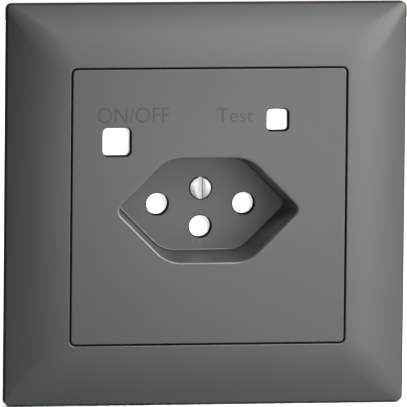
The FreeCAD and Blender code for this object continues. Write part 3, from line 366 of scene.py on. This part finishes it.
# Half widths and y of the steps behind: the lip under the plate's skirt, and the hollow round it.
LIP_HALF, LIP_FRONT, LIP_BACK = 27.5 * MM, -2.3 * MM, -1.3 * MM
HOLLOW_INNER, HOLLOW_OUTER, HOLLOW_FRONT = 33 * MM, 40.5 * MM, -2.4 * MM
SIDE_INNER = 42 * MM


def make_frame():
    """The pillow-shaped frame: level loops on the circular profile, softest at mid-height."""
    def square(half, corner=CORNER):
        return square_loop(half, corner, straight=SIDE_STEPS)

    reach = FRAME_HALF - WINDOW_HALF
    outer_slope = math.asin(reach / ARC + math.sin(INNER_SLOPE))
    rings = [(square(FRAME_HALF), 0.0), (square(FRAME_HALF), SIDE_TOP + OUTER_EDGE)]
    for angle in (0.35, 0.7):
        rings.append((square(FRAME_HALF - OUTER_EDGE * (1 - math.cos(angle))),
                      SIDE_TOP + OUTER_EDGE - OUTER_EDGE * math.sin(angle)))
    for i in range(ARC_STEPS + 1):
        share = i / ARC_STEPS
        slope = outer_slope + (INNER_SLOPE - outer_slope) * share
        half = WINDOW_HALF + ARC * (math.sin(slope) - math.sin(INNER_SLOPE))
        depth = FACE + ARC * (math.cos(INNER_SLOPE) - math.cos(slope))
        if i == 0:
            half -= SHOULDER_IN
            depth -= SHOULDER_UP
        if i == ARC_STEPS:
            half += FILLET
        rings.append((square(half, CORNER + BULGE * math.sin(math.pi * share)), depth))
    rings += rolled_edge(lambda grow: square(WINDOW_HALF + grow), FILLET, FACE, 6)[1:]
    behind = [(WINDOW_HALF, LIP_FRONT), (LIP_HALF, LIP_FRONT), (LIP_HALF, LIP_BACK),
              (HOLLOW_INNER, LIP_BACK), (HOLLOW_INNER, HOLLOW_FRONT), (HOLLOW_OUTER, HOLLOW_FRONT),
              (HOLLOW_OUTER, LIP_BACK), (SIDE_INNER, LIP_BACK), (SIDE_INNER, 0.0)]
    rings += [(square(half), depth) for half, depth in behind]
    mesh = bmesh.new()
    first, last = loft(mesh, rings)
    bridge(mesh, last, first)
    item = finish_piece(mesh, "frame_shell", COVER, "socket", ["cover_frame"])

    def painted_highlight_window_edge(face):
        """Faces that look to the front and, on the side that they are on, inwards: the window's
        edge, which gets the glossier, lighter copy as painted highlight.
        """
        x, _, z = face.center
        place, normal = (x, face.normal.x) if abs(x) > abs(z) else (z, face.normal.z)
        return face.normal.y < -0.2 and -normal * math.copysign(1, place) > 0.25

    def painted_shade_outer_side(face):
        """The upright side, without the profile's first, flatter faces; it is coloured darker as
        painted shade.
        """
        outermost = max(abs(face.center.x), abs(face.center.z)) > FRAME_HALF - OUTER_EDGE
        return outermost and face.normal.y > -0.8

    dress_faces(item, COVER_GLOSSY_EDGE_PAINTED_HIGHLIGHT, painted_highlight_window_edge)
    dress_faces(item, COVER_SIDE_PAINTED_SHADE, painted_shade_outer_side)


# ---- front plate ----

PLATE_HALF = (PLATE_HIGH.x - PLATE_LOW.x) / 2
PLATE_CORNER, PLATE_EDGE = 0.9 * MM, 0.2 * MM
PLATE_WALL, SKIRT_WALL, TUB_WALL = 2.2 * MM, 1.6 * MM, 1.2 * MM
SKIRT_END = -2.4 * MM
HOLE_LIP, PIN_LIP = 0.16 * MM, 0.22 * MM

# The recess: half width to the tips, half height, rounding, rim and the walls' lean.
TIP, RISE = 20.2 * MM, 11.3 * MM
TIP_ROUND, BEND_ROUND = 1.6 * MM, 7.5 * MM
RECESS_RIM, DRAFT = 0.6 * MM, math.radians(4.3)
# Round its floor, a groove and then a low crest: depth, height and insets from the wall's foot.
GROOVE_DEPTH, CREST_HEIGHT = 0.35 * MM, 0.12 * MM
GROOVE_IN, CREST_RISE_IN, CREST_TOP_IN = 0.22 * MM, 0.24 * MM, 0.28 * MM
CREST_END_IN, CREST_FALL = 0.34 * MM, 0.2 * MM

# The screw's seat and the passage for its shank.
SEAT, SEAT_DEPTH, PASSAGE = 2.55 * MM, 1.0 * MM, 1.7 * MM

# Name: middle, half width and corner radius of the button's opening.
BUTTONS = {
    "on_off": ((-20.3 * MM, 14.2 * MM), 3.1 * MM, 1.1 * MM),
    "test": ((15.0 * MM, 18.8 * MM), 2.4 * MM, 0.9 * MM),
}
BUTTON_STEPS = 8
# Faces this near to a pin hole's axis, or this little outside an opening's lip, are its walls,
# which are coloured near-black as painted shade.
PIN_WALL_REACH, OPENING_SLACK = 2.62 * MM, 0.02 * MM


def recess_loop(grow):
    """The six-sided outline, grown outwards."""
    tip, rise = TIP + grow * math.sqrt(2), RISE + grow
    flat = tip - rise
    corners = [(-flat, LEVEL - rise), (flat, LEVEL - rise), (tip, LEVEL),
               (flat, LEVEL + rise), (-flat, LEVEL + rise), (-tip, LEVEL)]
    bend, point = BEND_ROUND + grow, TIP_ROUND + max(grow, 0.0)
    return rounded_loop(corners, [bend, bend, point, bend, bend, point], 16, 6)


def recess_rings():
    """The recess from the plate's face to its floor: rim, leaning wall, groove and crest."""
    rings = rolled_edge(recess_loop, RECESS_RIM, FACE, 8)
    wall_top = FACE + RECESS_RIM
    narrowing = math.tan(DRAFT)
    for share in (0.25, 0.5, 0.75, 1.0):
        depth = wall_top + (RECESS_FLOOR + GROOVE_DEPTH - wall_top) * share
        rings.append((recess_loop(-(depth - wall_top) * narrowing), depth))
    foot = -(RECESS_FLOOR - wall_top) * narrowing
    rings += [(recess_loop(foot - GROOVE_IN), RECESS_FLOOR + GROOVE_DEPTH),
              (recess_loop(foot - CREST_RISE_IN), RECESS_FLOOR - CREST_HEIGHT / 2),
              (recess_loop(foot - CREST_TOP_IN), RECESS_FLOOR - CREST_HEIGHT)]
    return rings + [(recess_loop(foot - CREST_END_IN - CREST_FALL * (1 - math.cos(a))),
                     RECESS_FLOOR - CREST_HEIGHT * (1 - math.sin(a))) for a in quarter(4)]


def make_plate():
    """The front plate: a flat face with a rounded rim round the recess, its tub and its skirt."""
    mesh = bmesh.new()
    back, floor_back = FACE + PLATE_WALL, PLATE_HIGH.y
    skirt_inside = PLATE_HALF - SKIRT_WALL
    skirt = ((PLATE_HALF, SKIRT_END), (skirt_inside, SKIRT_END), (skirt_inside, back))
    outside = rolled_edge(lambda grow: square_loop(PLATE_HALF - grow, PLATE_CORNER),
                          PLATE_EDGE, FACE, 5)
    outside += [(square_loop(half, PLATE_CORNER), depth) for half, depth in skirt]
    face_outer, back_outer = loft(mesh, outside)
    face_recess, floor_outer = loft(mesh, recess_rings())

    openings = []
    for middle, half, radius in BUTTONS.values():
        def square(grow):
            return square_loop(half + grow, radius, middle, BUTTON_STEPS)

        openings.append(loft(mesh, rolled_edge(square, HOLE_LIP, FACE, 3) + [(square(0.0), back)]))

    holes = []
    for middle, size in PINS:
        radius = size - PIN_LIP / 4
        rings = rolled_edge(lambda grow: disc_loop(radius + grow, middle), PIN_LIP, RECESS_FLOOR, 3)
        holes.append(loft(mesh, rings + [(disc_loop(radius, middle), floor_back)]))
    seat_floor = RECESS_FLOOR + SEAT_DEPTH
    rings = rolled_edge(lambda grow: disc_loop(SEAT + grow, SCREW), HOLE_LIP, RECESS_FLOOR, 3)
    below = ((SEAT, seat_floor), (PASSAGE, seat_floor), (PASSAGE, floor_back))
    rings += [(disc_loop(radius, SCREW), depth) for radius, depth in below]
    holes.append(loft(mesh, rings))

    tub = recess_loop(TUB_WALL)
    tub_top, tub_end = loft(mesh, [(tub, back), (tub, floor_back)])
    fill(mesh, [face_outer, face_recess] + [opening[0] for opening in openings])
    fill(mesh, [floor_outer] + [hole[0] for hole in holes])
    fill(mesh, [back_outer, tub_top] + [opening[1] for opening in openings])
    fill(mesh, [tub_end] + [hole[1] for hole in holes])
    item = finish_piece(mesh, "plate_shell", COVER, "socket", ["front_plate"])

    # The recess walls, which get the lighter copy as painted light.
    def painted_light_recess_wall(face):
        x, y, z = face.center
        inside = abs(x) < TIP + RECESS_RIM and abs(z - LEVEL) < RISE + RECESS_RIM
        return inside and abs(face.normal.y) < 0.2 and y > FACE + RECESS_RIM / 2

    def painted_shade_opening_wall(face):
        """The walls of the pin holes and the button openings, with their lips, coloured near-black
        as painted shade.
        """
        x, _, z = face.center
        at_pin = any(math.hypot(x - pin[0], z - pin[1]) < PIN_WALL_REACH for pin, _ in PINS)
        margin = HOLE_LIP + OPENING_SLACK
        at_button = any(max(abs(x - middle[0]), abs(z - middle[1])) < half + margin
                        for middle, half, _ in BUTTONS.values())
        return face.normal.y > -0.98 and (at_pin or at_button)

    dress_faces(item, COVER_WALL_PAINTED_LIGHT, painted_light_recess_wall)
    # Rounded faces turned partly forward get the glossier, lighter edge copy: painted highlight.
    dress_faces(item, COVER_GLOSSY_EDGE_PAINTED_HIGHLIGHT, lambda face: -0.96 < face.normal.y < -0.25)
    dress_faces(item, OPENING_WALL_PAINTED_SHADE, painted_shade_opening_wall)


# ---- cover screw ----

HEAD, HEAD_HEIGHT, HEAD_RISE = 2.4 * MM, 1.4 * MM, 0.38 * MM
HEAD_EDGE_START, HEAD_EDGE = 0.04 * MM, 0.14 * MM
SLOT_HALF, SLOT_DEPTH = 0.5 * MM, 0.85 * MM
SHANK, THREAD_ROOT, PITCH = 1.5 * MM, 1.27 * MM, 0.5 * MM
PLAIN_SHANK, SCREW_TIP, CHAMFER = 1.5 * MM, 0.4 * MM, 0.1 * MM
HALF_STEPS, END_STEPS = 24, 6


def half_angles(radius, chord):
    """Angles along the right half of a slotted head's rim."""
    reach = math.acos(chord / radius)
    return [reach * (2 * i / HALF_STEPS - 1) for i in range(HALF_STEPS + 1)]


def head_angles():
    """Angles round the head: the right arc, the slot's end, the left arc, and the other end."""
    arc = half_angles(HEAD, SLOT_HALF)
    reach = arc[-1]
    end = [reach + (math.pi - 2 * reach) * i / END_STEPS for i in range(1, END_STEPS)]
    return arc + end + [math.pi + angle for angle in arc + end]


def half_loop(radius, chord, side):
    """One half of a slotted head: an arc that its chord closes."""
    start = math.pi if side < 0 else 0.0
    return arc_points(radius, SCREW, [start + angle for angle in half_angles(radius, chord)])


def make_screw():
    """The cover screw: a domed head with a slot, and a shank with thread grooves."""
    mesh = bmesh.new()
    top, seat = SCREW_LOW.y, SCREW_LOW.y + HEAD_HEIGHT
    slot_floor = top + SLOT_DEPTH
    angles = head_angles()

    def dome(point):
        return top + HEAD_RISE * (point - Vector(SCREW)).length_squared / HEAD ** 2

    profile = [(HEAD, slot_floor), (HEAD, seat - CHAMFER), (HEAD - CHAMFER, seat), (SHANK, seat)]
    start, end = seat + PLAIN_SHANK, SCREW_HIGH.y - SCREW_TIP
    for i in range(int((end - start) / PITCH)):
        profile += [(SHANK, start + PITCH * (i + 0.05)), (THREAD_ROOT, start + PITCH * (i + 0.45)),
                    (THREAD_ROOT, start + PITCH * (i + 0.6))]
    profile += [(SHANK, end), (THREAD_ROOT - CHAMFER, SCREW_HIGH.y)]
    rim, tip = loft(mesh, [(arc_points(radius, SCREW, angles), depth) for radius, depth in profile])
    mesh.faces.new(tip)
    slot_end = rim[HALF_STEPS:HALF_STEPS + END_STEPS + 1]
    other_end = rim[2 * HALF_STEPS + END_STEPS:] + rim[:1]
    mesh.faces.new(slot_end + other_end)
    for side in (1, -1):
        rings = [add_loop(mesh, half_loop(HEAD, SLOT_HALF, side), depth)
                 for depth in (slot_floor, top + HEAD_RISE + HEAD_EDGE)]
        for inset in (HEAD_EDGE_START, HEAD_EDGE):
            inner = half_loop(HEAD - inset, SLOT_HALF + inset / 4, side)
            rings.append([mesh.verts.new((p.x, dome(p) + HEAD_EDGE - inset, p.y)) for p in inner])
        middle = sum(inner, Vector((0, 0))) / len(inner)
        for share in (0.2, 0.4, 0.6, 0.8):
            loop = [point.lerp(middle, share) for point in inner]
            rings.append([mesh.verts.new((p.x, dome(p), p.y)) for p in loop])
        _, last = bridge_all(mesh, rings)
        crown = mesh.verts.new((middle.x, dome(middle), middle.y))
        for i, vertex in enumerate(last):
            mesh.faces.new((vertex, last[(i + 1) % len(last)], crown))
    finish_piece(mesh, "screw_turned", SCREW_METAL, "socket", ["cover_screw"], 35.0)


# ---- buttons ----

CAP_EDGE, CAP_GAP = 0.16 * MM, 0.09 * MM
FLANGE_FRONT, FLANGE_BACK = 2.4 * MM, 3.6 * MM
STEM, STEM_TIP, STEM_TAPER = 1.1 * MM, 0.9 * MM, 0.2 * MM


def make_button(name, middle, half, radius):
    """A square cap with soft edges, the flange that keeps it in, and its stem."""
    low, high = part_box(f"{name}_button")
    flange = square_loop((high.x - low.x) / 2, radius, middle, BUTTON_STEPS)

    def cap(grow):
        return square_loop(half - CAP_GAP - grow, radius - CAP_GAP, middle, BUTTON_STEPS)

    mesh = bmesh.new()
    face, back = loft(mesh, rolled_edge(cap, CAP_EDGE, low.y, 4)
                      + [(cap(0.0), FLANGE_FRONT), (flange, FLANGE_FRONT), (flange, FLANGE_BACK)])
    root, tip = loft(mesh, [(disc_loop(STEM, middle), FLANGE_BACK),
                            (disc_loop(STEM, middle), high.y - STEM_TAPER),
                            (disc_loop(STEM_TIP, middle), high.y)])
    for loops in ([face], [back, root], [tip]):
        fill(mesh, loops)
    finish_piece(mesh, f"{name}_cap", WHITE, f"{name}_push", [f"{name}_button"])


# ---- springs ----

# Name: wire radius and turns.
COILS = {"on_off_spring": (0.25 * MM, 3), "test_spring": (0.25 * MM, 3),
         "opening_spring": (0.22 * MM, 5), "shutter_spring": (0.2 * MM, 6)}
COIL_STEPS, WIRE_SIDES = 24, 10
WIRE_ANGLES = [2 * math.pi * side / WIRE_SIDES for side in range(WIRE_SIDES)]


def make_spring(coil):
    """A coil of round wire that fills its node's box, along the axis that its joint's mode gives.
    """
    name = coil["node"]
    wire, turns = COILS[name]
    low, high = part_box(name)
    middle = (low + high) / 2
    along = 1 if coil["mode"] == "scale_y" else 0
    fixed = coil["fixed_end_y_m" if along else "fixed_end_x_m"]
    moving = max(low[along], high[along], key=lambda place: abs(place - fixed))
    way, across = Vector((1 - along, along, 0)), Vector((along, 1 - along, 0))
    up = Vector((0, 0, 1))
    radius = (high.z - low.z) / 2 - wire
    length = high[along] - low[along] - 2 * wire
    climb = way * (length / turns / 2 / math.pi)
    mesh = bmesh.new()
    rings = []
    for step in range(turns * COIL_STEPS + 1):
        angle = 2 * math.pi * step / COIL_STEPS
        outwards = across * math.cos(angle) + up * math.sin(angle)
        forwards = (up * math.cos(angle) - across * math.sin(angle)) * radius + climb
        aside = forwards.normalized().cross(outwards)
        centre = middle + outwards * radius + way * (length * (step / turns / COIL_STEPS - 0.5))
        rings.append([mesh.verts.new(centre + (outwards * math.cos(a) + aside * math.sin(a)) * wire)
                      for a in WIRE_ANGLES])
    for end in bridge_all(mesh, rings):
        mesh.faces.new(end)
    item = finish_piece(mesh, f"{name}_wire", STEEL, None, [name])
    start, end = middle.copy(), middle.copy()
    start[along], end[along] = fixed, moving
    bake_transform(item)


def make_springs():
    for joint in frame["record"]["behaviour"]["joints"]:
        for coil in joint.get("deforming_nodes", []):
            make_spring(coil)


# ---- legends ----

# Name: words, left and right ends, and height of the capitals.
LEGENDS = {"on_off_legend": ("ON/OFF", -24.6 * MM, -8.9 * MM, 3.3 * MM),
           "test_legend": ("Test", 1.6 * MM, 9.6 * MM, 3.0 * MM)}
LEGEND_BASE = 18.4 * MM
LEGEND_PROUD, LEGEND_SUNK = 0.03 * MM, 0.2 * MM
# In the typeface's own units: half thickness, and how much thinner the strokes are made.
EXTRUDE, THINNING = 0.02, -0.01


def make_legend(name, text, left, right, height):
    """A very shallow legend on the plate, in the plain built-in typeface with thin strokes."""
    curve = bpy.data.curves.new(name, "FONT")
    curve.body = text
    curve.extrude = EXTRUDE
    curve.offset = THINNING
    curve.resolution_u = 5
    item = add_object(name, curve)
    bpy.context.view_layer.update()
    evaluated = item.evaluated_get(bpy.context.evaluated_depsgraph_get())
    data = bpy.data.meshes.new_from_object(evaluated)
    bpy.data.objects.remove(item)
    mesh = bmesh.new()
    mesh.from_mesh(data)
    across = [vertex.co.x for vertex in mesh.verts]
    low, wide = min(across), max(across) - min(across)
    tall = max(vertex.co.y for vertex in mesh.verts)
    for vertex in mesh.verts:
        x, z, front = vertex.co
        vertex.co = (left + (x - low) / wide * (right - left),
                     FACE - LEGEND_PROUD if front > 0 else FACE + LEGEND_SUNK,
                     LEGEND_BASE + z / tall * height)
    finish_piece(mesh, name, LEGEND, "socket")


# ---- stage, lights and camera ----

# The floor's half width, front and back edges, and how far it lies under the object.
FLOOR_SIDE, FLOOR_FRONT, FLOOR_BEHIND, FLOOR_GAP = 0.3, -0.12, 0.8, 0.2 * MM

# Name: azimuth, elevation and power of the soft lights, all aimed at the frame's middle.
SOFT_LIGHTS = {
    "key_side": (50, 25, 0.90), "key_high": (20, 40, 0.64), "side_fill": (35, 0, 0.46),
    "high_fill": (0, 50, 0.13), "key_front": (20, 12, 0.28), "low_side": (50, 0, 0.11),
}
SOFT_DISTANCE, SOFT_SIZE = 0.25, 0.11
BACKDROP_FROM, BACKDROP_AIM = (180, 60), (0, 0.42, 0)
BACKDROP_DISTANCE, BACKDROP_SIZE, BACKDROP_POWER = 0.9, 1.2, 30.0
# The narrow light stands where the camera looks from.
SNOOT_DISTANCE, SNOOT_ANGLE, SNOOT_POWER = 1.5, math.radians(2.2), 100.0
SNOOT_AIM = (-2 * MM, 0, 6 * MM)

# The camera's azimuth and elevation, its lens, and the width that it takes in at its aim.
VIEW = (-9, 7)
ROLL = math.radians(0.55)
LENS, SENSOR, FIELD = 900.0, 36.0, 88.55 * MM
AIM = Vector((-0.66 * MM, FACE / 2, 0.22 * MM))


def make_stage():
    """A plain pale floor under the frame's lower edge, from just before it to well behind it."""
    mesh = bmesh.new()
    corners = ((-FLOOR_SIDE, FLOOR_FRONT), (FLOOR_SIDE, FLOOR_FRONT),
               (FLOOR_SIDE, FLOOR_BEHIND), (-FLOOR_SIDE, FLOOR_BEHIND))
    mesh.faces.new([mesh.verts.new((x, y, 0.0)) for x, y in corners])
    data = bpy.data.meshes.new("floor")
    mesh.to_mesh(data)
    mesh.free()
    floor = add_object("floor", data)
    floor.location.z = CAD_BOX[0].z - FLOOR_GAP
    floor.data.materials.append(plastic("stage_pale", (0.80, 0.80, 0.80), (0.84, 0.84, 0.84), 0.8))


def from_direction(azimuth, elevation):
    """The unit vector towards a direction, in degrees right of the plate's axis and above it."""
    across, up = math.radians(azimuth), math.radians(elevation)
    return Vector((math.sin(across) * math.cos(up), -math.cos(across) * math.cos(up), math.sin(up)))


def place_light(light, towards, distance, target):
    """Stand a light off a point and face it."""
    item = add_object(light.name, light)
    item.location = Vector(target) + towards * distance
    item.rotation_euler = (-towards).to_track_quat("-Z", "Y").to_euler()


def add_soft_light(name, direction, distance, size, power, target):
    light = bpy.data.lights.new(name, "AREA")
    light.shape = "SQUARE"
    light.size = size
    light.energy = power
    place_light(light, from_direction(*direction), distance, target)


def make_lights():
    """Square soft lights before and behind the outlet, and a narrow one on the plate's middle."""
    for name, (azimuth, elevation, power) in SOFT_LIGHTS.items():
        add_soft_light(name, (azimuth, elevation), SOFT_DISTANCE, SOFT_SIZE, power, (0, 0, 0))
    add_soft_light("backdrop", BACKDROP_FROM, BACKDROP_DISTANCE, BACKDROP_SIZE, BACKDROP_POWER,
                   BACKDROP_AIM)
    snoot = bpy.data.lights.new("snoot", "SPOT")
    snoot.spot_size = SNOOT_ANGLE
    snoot.spot_blend = 0.5
    snoot.shadow_soft_size = 0.03
    snoot.energy = SNOOT_POWER
    place_light(snoot, from_direction(*VIEW), SNOOT_DISTANCE, SNOOT_AIM)


def make_background():
    """White where the camera sees past the floor, with no light of its own on the object."""
    world = bpy.data.worlds.new("studio")
    world.use_nodes = True
    nodes = world.node_tree.nodes
    background = nodes["Background"]
    background.inputs["Color"].default_value = (1, 1, 1, 1)
    seen = nodes.new("ShaderNodeLightPath")
    world.node_tree.links.new(seen.outputs["Is Camera Ray"], background.inputs["Strength"])
    bpy.context.scene.world = world


def make_camera():
    """A long lens, up and to the left of the plate's axis."""
    back = from_direction(*VIEW)
    data = bpy.data.cameras.new("camera")
    data.lens, data.sensor_width = LENS, SENSOR
    data.clip_start, data.clip_end = 0.1, 20.0
    camera = add_object("camera", data)
    camera.location = AIM + back * (LENS / SENSOR * FIELD)
    camera.rotation_mode = "QUATERNION"
    camera.rotation_quaternion = (-back).to_track_quat("-Z", "Y") @ Quaternion((0, 0, 1), ROLL)
    bpy.context.scene.camera = camera


dress_nodes()
make_frame()
make_plate()
make_screw()
for button, opening in BUTTONS.items():
    make_button(button, *opening)
make_springs()
for legend, words in LEGENDS.items():
    make_legend(legend, *words)
make_stage()
make_lights()
make_background()
make_camera()
bpy.context.scene.view_settings.view_transform = "Standard"
